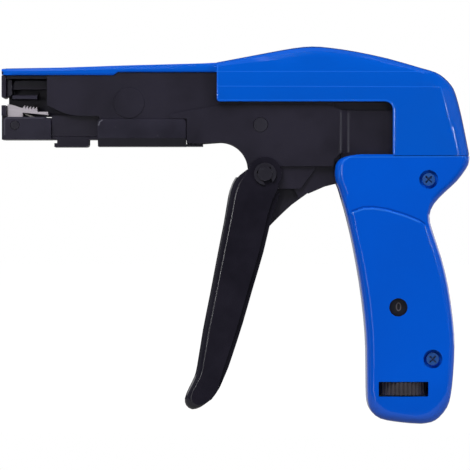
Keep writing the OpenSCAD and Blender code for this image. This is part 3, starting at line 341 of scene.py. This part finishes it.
def add_lines(tree, shader, places, width, shade, lift):
    """Painted highlight or shade line with a fine bump through places in X and Z, under the
    bumps that are there.

    The width is half the line's, and it and the lift are in millimetres.
    """
    corners = [Vector((x, 0, z)) * MM for x, z in places]
    parts = [place_group(tree, LINE, From=start, To=end, Width=width * MM)["Mask"]
             for start, end in zip(corners, corners[1:])]
    mask = reduce(lambda a, b: maths(tree, "MAXIMUM", a, b), parts)
    plain = shader.inputs["Base Color"].links[0].from_socket
    plug(tree, mixed(tree, mask, plain, shade), shader.inputs["Base Color"])
    ridge = tree.nodes.new("ShaderNodeBump")
    ridge.inputs["Distance"].default_value = lift * MM
    plug(tree, mask, ridge.inputs["Height"])
    normal = shader.inputs["Normal"]
    while normal.links:
        normal = normal.links[0].from_node.inputs["Normal"]
    plug(tree, ridge.outputs["Normal"], normal)


# --- Kinds of finish ---
# Depth in millimetres of the skin of a moulding and of the lines of a ground surface
SKIN_DEPTH, GROUND_DEPTH = 0.02, 0.01
COAT_ROUGHNESS = 0.12
# How much lighter the handled patches of a dark finish are
HAZE = 1.5


def add_smudges(tree, shader, smooth, dull, scale):
    smudges = place_group(tree, HANDLING, Smooth=smooth, Dull=dull, Scale=scale)
    plug(tree, smudges["Roughness"], shader.inputs["Roughness"])
    return smudges["Mask"]


def moulded_plastic(name, colour, deep, smooth, dull, coat=0.0, lines=()):
    """Injection-moulded plastic: slight flow shading, a fine skin grain and smudges."""
    material, shader, tree = new_material(name)
    smudges = add_smudges(tree, shader, smooth, dull, scale=28.0)
    plug(tree, mixed(tree, smudges, colour, deep), shader.inputs["Base Color"])
    skin = place_group(tree, GRAIN, Fine=1800.0, Broad=60.0, Share=0.35)
    add_bump(tree, shader, skin["Height"], SKIN_DEPTH)
    # The given lines paint highlights and shade along their paths
    for line in lines:
        add_lines(tree, shader, *line)
    shader.inputs["Coat Weight"].default_value = coat
    shader.inputs["Coat Roughness"].default_value = COAT_ROUGHNESS
    return material


def dark_metal(name, colour, worn, smooth, dull, metallic=0.3, amount=0.35, depth=0.006,
               lines=()):
    """Blackened steel: drawn lines, small rubbed specks and smudges."""
    material, shader, tree = new_material(name)
    marks = place_group(tree, RUBBED, Amount=amount)
    smudges = add_smudges(tree, shader, smooth, dull, scale=60.0)
    hazed = tuple(HAZE * part for part in colour[:3]) + (1,)
    clouded = mixed(tree, smudges, colour, hazed)
    plug(tree, mixed(tree, marks["Mask"], clouded, worn), shader.inputs["Base Color"])
    shader.inputs["Metallic"].default_value = metallic
    add_bump(tree, shader, marks["Lines"], depth)
    # The given lines paint highlights and shade along their paths
    for line in lines:
        add_lines(tree, shader, *line)
    return material


def bare_metal(name, colour, deep, smooth, dull, metallic=1.0):
    """Ground or drawn bare metal with fine lines."""
    material, shader, tree = new_material(name)
    marks = place_group(tree, RUBBED)
    add_smudges(tree, shader, smooth, dull, scale=90.0)
    plug(tree, mixed(tree, marks["Lines"], colour, deep), shader.inputs["Base Color"])
    shader.inputs["Metallic"].default_value = metallic
    add_bump(tree, shader, marks["Lines"], GROUND_DEPTH)
    return material


# --- Painted highlight and painted shade lines on the sides of the tool ---
# Each has its places in X and Z, half its width, its painted colour and its height, with sizes
# in millimetres. A height below zero is a groove
# A lighter colour is a painted highlight, and a darker one painted shade or a painted shadow
COVER_PAINTED_HIGHLIGHT, DARK_BLUE_PAINTED_SHADE = (0.006, 0.100, 0.54, 1), (0.0, 0.035, 0.26, 1)
GRIP_RIM_PAINTED_HIGHLIGHT, PAD_PAINTED_HIGHLIGHT = (0.01, 0.12, 0.58, 1), (0.02, 0.14, 0.60, 1)
BEND_PAINTED_HIGHLIGHT, CROSS_PAINTED_SHADE = (0.038, 0.037, 0.048, 1), (0.002, 0.006, 0.022, 1)
CORNER_PAINTED_HIGHLIGHT, FOLD_PAINTED_HIGHLIGHT = (0.06, 0.058, 0.08, 1), (0.12, 0.12, 0.15, 1)
# Painted highlights along the two creases of the cover and its rim, and a painted shadow under
# its strip
COVER_LINES = (
    (((76, 10.4), (152.5, 10.4)), 0.25, COVER_PAINTED_HIGHLIGHT, 0.03),
    (((76.5, 5.2), (154.6, 5.0), (160.6, -18.2)), 0.3, COVER_PAINTED_HIGHLIGHT, 0.04),
    (((76.3, 12.5), (76.3, 0.9), (76.9, 0.35), (135.4, 0.35), (137.4, -0.5), (138.2, -2.4),
      (138.2, -18.6)), 0.3, COVER_PAINTED_HIGHLIGHT, 0.04),
    (((4, 9.6), (39.9, 9.6), (41.4, 10.5), (75.2, 10.6)), 0.35, DARK_BLUE_PAINTED_SHADE, -0.03),
)
# Painted shade along the shallow groove over the hand pad with a painted highlight line under
# it, and a painted highlight along the grip's upper rim
PAD_LINE = ((123.4, -38.5), (127.4, -37.1), (131.0, -37.0), (136.2, -37.8), (142.7, -39.8),
            (147.2, -41.7), (149.0, -43.0))
PAD_LIGHT = tuple((x, z - 0.85) for x, z in PAD_LINE[:-1])
GRIP_LINES = (
    (PAD_LINE, 0.4, DARK_BLUE_PAINTED_SHADE, -0.04),
    (PAD_LIGHT, 0.4, PAD_PAINTED_HIGHLIGHT, 0.03),
    (((119.0, -27.0), (119.2, -24.5), (120.2, -21.4), (122.5, -19.7), (163.0, -19.5),
      (163.9, -20.6)), 0.3, GRIP_RIM_PAINTED_HIGHLIGHT, 0.03),
)
# Painted highlights on the corner of the carriage and the front fold of the saddle
NOSE_LINES = (
    (((1.3, -11.6), (1.3, -6.4), (1.9, -5.8), (15.0, -5.8)), 0.3, CORNER_PAINTED_HIGHLIGHT, 0.03),
    (((34.5, -8.4), (34.8, -7.2), (35.7, -6.6)), 0.3, FOLD_PAINTED_HIGHLIGHT, 0.03),
)
# Painted highlights along the two bends of each frame plate
FRAME_LINES = tuple(
    (((x, -4.2), (x, -17.6)), 0.5, BEND_PAINTED_HIGHLIGHT, 0.03) for x in (119.7, 122.3))
# Painted shade in the crosses of the screw heads, from the centres and half the reach of a
# stroke
SCREW_PLACES, CROSS_REACH = ((150.4, -27.5), (151.8, -90.7)), 1.05
SCREW_LINES = tuple(
    (((x - CROSS_REACH, z - turn * CROSS_REACH), (x + CROSS_REACH, z + turn * CROSS_REACH)),
     0.32, CROSS_PAINTED_SHADE, -0.03)
    for x, z in SCREW_PLACES for turn in (-1, 1))


def make_finishes():
    """Finishes by the slot of the CAD that wears them."""
    return {
        # The cover and the grip are one blue plastic; the cover's darker blue is painted shade
        "cover_blue": moulded_plastic(
            "cover blue", (0.0, 0.074, 0.455, 1), deep=(0.0, 0.070, 0.43, 1),
            smooth=0.12, dull=0.17, coat=0.2, lines=COVER_LINES),
        "grip_blue": moulded_plastic(
            "grip blue", (0.0, 0.074, 0.50, 1), deep=(0.0, 0.069, 0.47, 1),
            smooth=0.09, dull=0.14, coat=0.2, lines=GRIP_LINES),
        "strip_black": moulded_plastic(
            "strip black", (0.006, 0.005, 0.006, 1), deep=(0.010, 0.009, 0.010, 1),
            smooth=0.5, dull=0.6),
        "wheel_brown": moulded_plastic(
            "wheel brown", (0.030, 0.026, 0.032, 1), deep=(0.042, 0.037, 0.044, 1),
            smooth=0.45, dull=0.6),
        # The blue in the black screw's colour is a painted reflection of the blue grip round it
        "screw_black": dark_metal(
            "screw black", (0.010, 0.052, 0.20, 1), worn=(0.04, 0.10, 0.26, 1),
            smooth=0.25, dull=0.35, metallic=0.2, lines=SCREW_LINES),
        "trigger_black": dark_metal(
            "trigger black", (0.0070, 0.0062, 0.0105, 1), worn=(0.02, 0.02, 0.026, 1),
            smooth=0.14, dull=0.20, metallic=0.0, amount=0.15, depth=0.002),
        "nose_grey": dark_metal(
            "nose grey", (0.0145, 0.0130, 0.0230, 1), worn=(0.09, 0.09, 0.11, 1),
            smooth=0.3, dull=0.42, lines=NOSE_LINES),
        "pin_steel": dark_metal(
            "pin steel", (0.0145, 0.0135, 0.0200, 1), worn=(0.10, 0.10, 0.12, 1),
            smooth=0.28, dull=0.4),
        "frame_black": dark_metal(
            "frame black", (0.0115, 0.0100, 0.0180, 1), worn=(0.05, 0.05, 0.065, 1),
            smooth=0.32, dull=0.44, lines=FRAME_LINES),
        "link_dark": dark_metal(
            "link dark", (0.012, 0.0105, 0.018, 1), worn=(0.05, 0.05, 0.055, 1),
            smooth=0.34, dull=0.46),
        "bright_steel": bare_metal(
            "bright steel", (0.64, 0.59, 0.64, 1), deep=(0.45, 0.42, 0.46, 1),
            smooth=0.28, dull=0.42, metallic=0.6),
        "spring_steel": bare_metal(
            "spring steel", (0.5, 0.48, 0.46, 1), deep=(0.34, 0.32, 0.31, 1),
            smooth=0.25, dull=0.4),
        "nut_brass": bare_metal(
            "nut brass", (0.62, 0.47, 0.2, 1), deep=(0.45, 0.33, 0.13, 1),
            smooth=0.25, dull=0.4),
        "inner_steel": bare_metal(
            "inner steel", (0.35, 0.34, 0.36, 1), deep=(0.25, 0.24, 0.26, 1),
            smooth=0.3, dull=0.45),
    }


# --- Edges of the CAD nodes ---
# Width of the broken edge on each node, in millimetres
EDGES = {
    "top_cover": 0.45, "grip_shell_near": 0.2, "grip_shell_far": 0.2, "trigger": 0.15,
    "trigger_liner": 0.15, "trigger_arm": 0.15, "frame_plate_near": 0.3,
    "frame_plate_far": 0.3, "barrel_plate_near": 0.14, "barrel_plate_far": 0.14,
    "barrel_saddle": 0.18, "top_rail": 0.2, "guide_rail": 0.2, "gripper_carriage": 0.18,
    "gripper_pawl": 0.08, "link_plate_near": 0.12, "link_plate_far": 0.12,
    "trigger_pin": 0.25, "frame_rivet": 0.3, "pawl_pin": 0.25, "retaining_clips": 0.1,
    "grip_screws": 0.12, "cutter_blade": 0.06, "cutter_lever": 0.12, "trip_rocker": 0.12,
    "draw_bar": 0.12, "drive_rocker": 0.12, "strap_guide": 0.12, "tension_nut": 0.2,
    "spring_guide": 0.2, "plunger": 0.2, "thumbwheel": 0.1, "indicator_strip": 0.1,
}
# Least angle of an edge that is broken and drawn crisp, in degrees
SHARP_EDGE = 32
# Nodes with flatter creases that still show as lines
CREASED = {"top_cover": 20}
# Softer edges: width in millimetres, least and most angle in degrees, and the box in X, |Y| and
# Z that holds them, in millimetres
PAD_RIM = (0.5, 40, 180, (125.5, 9.9, -46), (149.2, 10.1, -36))
BENDS = (0.8, 8, 30, (119, 5.5, -19), (123, 7.2, -3))
SOFT_EDGES = {
    "grip_shell_near": PAD_RIM, "grip_shell_far": PAD_RIM,
    "frame_plate_near": BENDS, "frame_plate_far": BENDS,
}
# Corners of a node's loose triangles that lie closer than this are one
WELD_GAP = 0.002 * MM
# Faces that meet at less than this many degrees are made one before their edges are broken
FLAT_ANGLE = 0.4


def new_modifier_group(name, inputs):
    """Geometry node group with named float or vector inputs."""
    tree = bpy.data.node_groups.new(name, "GeometryNodeTree")
    for label, kind in (("Geometry", "Geometry"), *inputs):
        tree.interface.new_socket(label, in_out="INPUT", socket_type="NodeSocket" + kind)
    tree.interface.new_socket("Geometry", in_out="OUTPUT", socket_type="NodeSocketGeometry")
    given = tree.nodes.new("NodeGroupInput").outputs
    return tree, given, tree.nodes.new("NodeGroupOutput").inputs


def add_modifier_group(node, name, tree, **values):
    modifier = node.modifiers.new(name, "NODES")
    modifier.node_group = tree
    for item in tree.interface.items_tree:
        if item.in_out == "INPUT" and item.name in values:
            modifier[item.identifier] = values[item.name]


def smoothing_group():
    """Smooth shading, with edges sharper than the given angle left crisp."""
    tree, given, put = new_modifier_group("smooth by angle", [("Angle", "Float")])
    angle = tree.nodes.new("GeometryNodeInputMeshEdgeAngle").outputs["Unsigned Angle"]
    small = tree.nodes.new("FunctionNodeCompare")
    small.operation = "LESS_THAN"
    plug(tree, angle, small.inputs["A"])
    plug(tree, given["Angle"], small.inputs["B"])
    faces = tree.nodes.new("GeometryNodeSetShadeSmooth")
    faces.domain = "FACE"
    plug(tree, given["Geometry"], faces.inputs["Geometry"])
    edges = tree.nodes.new("GeometryNodeSetShadeSmooth")
    edges.domain = "EDGE"
    plug(tree, faces.outputs["Geometry"], edges.inputs["Geometry"])
    plug(tree, small.outputs["Result"], edges.inputs["Shade Smooth"])
    plug(tree, edges.outputs["Geometry"], put["Geometry"])
    return tree


def soft_edge_group():
    """Marks the edges whose angle and place lie within the given limits for a bevel."""
    tree, given, put = new_modifier_group(
        "mark soft edges",
        [("Least", "Float"), ("Most", "Float"), ("Low", "Vector"), ("High", "Vector")])
    angle = tree.nodes.new("GeometryNodeInputMeshEdgeAngle").outputs["Unsigned Angle"]
    parts = tree.nodes.new("ShaderNodeSeparateXYZ")
    plug(tree, tree.nodes.new("GeometryNodeInputPosition").outputs["Position"],
         parts.inputs["Vector"])
    either_side = tree.nodes.new("ShaderNodeCombineXYZ")
    plug(tree, parts.outputs["X"], either_side.inputs["X"])
    plug(tree, maths(tree, "ABSOLUTE", parts.outputs["Y"]), either_side.inputs["Y"])
    plug(tree, parts.outputs["Z"], either_side.inputs["Z"])
    place = either_side.outputs["Vector"]

    def within(value, kind, operation, limit):
        test = tree.nodes.new("FunctionNodeCompare")
        test.data_type = kind
        test.operation = operation
        sockets = [s for s in test.inputs if s.enabled and s.name in ("A", "B")]
        plug(tree, value, sockets[0])
        plug(tree, given[limit], sockets[1])
        return test.outputs["Result"]

    def both(a, b):
        node = tree.nodes.new("FunctionNodeBooleanMath")
        plug(tree, a, node.inputs[0])
        plug(tree, b, node.inputs[1])
        return node.outputs["Boolean"]

    store = tree.nodes.new("GeometryNodeStoreNamedAttribute")
    store.data_type = "FLOAT"
    store.domain = "EDGE"
    store.inputs["Name"].default_value = "bevel_weight_edge"
    store.inputs["Value"].default_value = 1.0
    plug(tree, given["Geometry"], store.inputs["Geometry"])
    plug(tree, reduce(both, (within(angle, "FLOAT", "GREATER_THAN", "Least"),
                             within(angle, "FLOAT", "LESS_THAN", "Most"),
                             within(place, "VECTOR", "GREATER_THAN", "Low"),
                             within(place, "VECTOR", "LESS_THAN", "High"))),
         store.inputs["Selection"])
    plug(tree, store.outputs["Geometry"], put["Geometry"])
    return tree


SMOOTHING = smoothing_group()
SOFT_EDGE_MARKS = soft_edge_group()


def soften(node, width, least, most, low, high):
    add_modifier_group(node, "soft edges", SOFT_EDGE_MARKS, Least=radians(least),
                       Most=radians(most), Low=Vector(low) * MM, High=Vector(high) * MM)
    bevel = node.modifiers.new("soft edges rounded", "BEVEL")
    bevel.width = width * MM
    bevel.segments = 4
    bevel.limit_method = "WEIGHT"
    # One very short edge would narrow them all
    bevel.use_clamp_overlap = False


def break_edges(node, width):
    bevel = node.modifiers.new("broken edges", "BEVEL")
    bevel.width = width * MM
    bevel.segments = 2
    bevel.limit_method = "ANGLE"
    bevel.angle_limit = radians(SHARP_EDGE)
    bevel.use_clamp_overlap = True


def finish_node(name, node):
    weld = node.modifiers.new("weld", "WELD")
    weld.merge_threshold = WELD_GAP
    if name in EDGES:
        flats = node.modifiers.new("flats", "DECIMATE")
        flats.decimate_type = "DISSOLVE"
        flats.angle_limit = radians(FLAT_ANGLE)
        if name in SOFT_EDGES:
            soften(node, *SOFT_EDGES[name])
        break_edges(node, EDGES[name])
    add_modifier_group(node, "smooth", SMOOTHING,
                       Angle=radians(CREASED.get(name, SHARP_EDGE)))
    flat_light = node.modifiers.new("flat light", "WEIGHTED_NORMAL")
    flat_light.keep_sharp = True


# Nodes that look unlike the others of their slot
LOOKS = {"cutter_blade": "pin_steel"}


def dress_nodes(finishes):
    slots = {p["node"]: p["material_slot"] for p in frame["record"]["subparts"]}
    for name, node in nodes.items():
        for slot in node.material_slots:
            slot.material = finishes[LOOKS.get(name, slots[name])]
        finish_node(name, node)


# --- Printed digits on the indicator strip ---
DIGITS = "012"
# The digits are 3.1 mm high, and the font's size is 1.4 times that
FONT_SIZE = 3.1 * 1.4 * MM
DIGIT_PITCH = 6.0 * MM
DIGIT_X = 139.9 * MM
WINDOW_Z = -72.4 * MM
PRINT_LIFT = 0.02 * MM
PRINT_COLOUR, PRINT_WORN = (0.20, 0.17, 0.16, 1), (0.10, 0.085, 0.08, 1)


def print_finish():
    material, shader, tree = new_material("printed digits")
    faded = noise(tree, surface_coords(tree), scale=1500.0, detail=4.0, rough=0.7)
    plug(tree, mixed(tree, ramp(tree, faded, 0.35, 0.7), PRINT_COLOUR, PRINT_WORN),
         shader.inputs["Base Color"])
    shader.inputs["Roughness"].default_value = 0.6
    return material


def digit_mesh(digit):
    """Flat mesh of one digit, centred and facing up."""
    curve = bpy.data.curves.new("digit", "FONT")
    curve.body = digit
    curve.size = FONT_SIZE
    curve.align_x = "CENTER"
    curve.align_y = "CENTER"
    text = bpy.data.objects.new("digit", curve)
    scene.collection.objects.link(text)
    bpy.context.view_layer.update()
    mesh = bpy.data.meshes.new_from_object(
        text.evaluated_get(bpy.context.evaluated_depsgraph_get()))
    bpy.data.objects.remove(text)
    bpy.data.curves.remove(curve)
    return mesh


def print_digits():
    """The nut's strip carries a digit to the window for each step of the tension."""
    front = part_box("indicator_strip")[0][1] - PRINT_LIFT
    bm = bmesh.new()
    for step, digit in enumerate(DIGITS):
        mesh = digit_mesh(digit)
        place = Vector((DIGIT_X, front, WINDOW_Z - step * DIGIT_PITCH))
        mesh.transform(Matrix.Translation(place) @ Matrix.Rotation(radians(90), 4, "X"))
        bm.from_mesh(mesh)
    mesh = bpy.data.meshes.new("setting_digits")
    bm.to_mesh(mesh)
    bm.free()
    mesh.materials.append(print_finish())
    digits = bpy.data.objects.new("setting_digits", mesh)
    scene.collection.objects.link(digits)
    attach(digits, "nut")


# --- Spring between the plunger and the nut, cut into the halves above and below its middle ---
# Corners of the spring's loose triangles that lie closer than this are one
COIL_GAP = 0.001 * MM


def half_coil(name, middle, side):
    """The part of the CAD spring above or below its middle."""
    bm = bmesh.new()
    bm.from_mesh(nodes["tension_spring"].data)
    bmesh.ops.remove_doubles(bm, verts=bm.verts, dist=COIL_GAP)
    bmesh.ops.bisect_plane(bm, geom=bm.verts[:] + bm.edges[:] + bm.faces[:], plane_co=middle,
                           plane_no=(0, 0, side), clear_inner=True)
    bmesh.ops.holes_fill(bm, edges=[edge for edge in bm.edges if edge.is_boundary])
    bmesh.ops.recalc_face_normals(bm, faces=bm.faces)
    mesh = bpy.data.meshes.new(name)
    bm.to_mesh(mesh)
    bm.free()
    mesh.shade_smooth()
    half = bpy.data.objects.new(name, mesh)
    scene.collection.objects.link(half)
    return half


def coil_spring(finishes):
    low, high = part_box("tension_spring")
    middle = (low + high) / 2
    for name, mover, end, side in (("tension_spring_upper", "plunger", high, 1),
                                   ("tension_spring_lower", "nut", low, -1)):
        half = half_coil(name, middle, side)
        half.data.materials.append(finishes["spring_steel"])
        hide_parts("tension_spring")
        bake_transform(half)


make_camera()
make_studio()
finishes = make_finishes()
dress_nodes(finishes)
coil_spring(finishes)
print_digits()
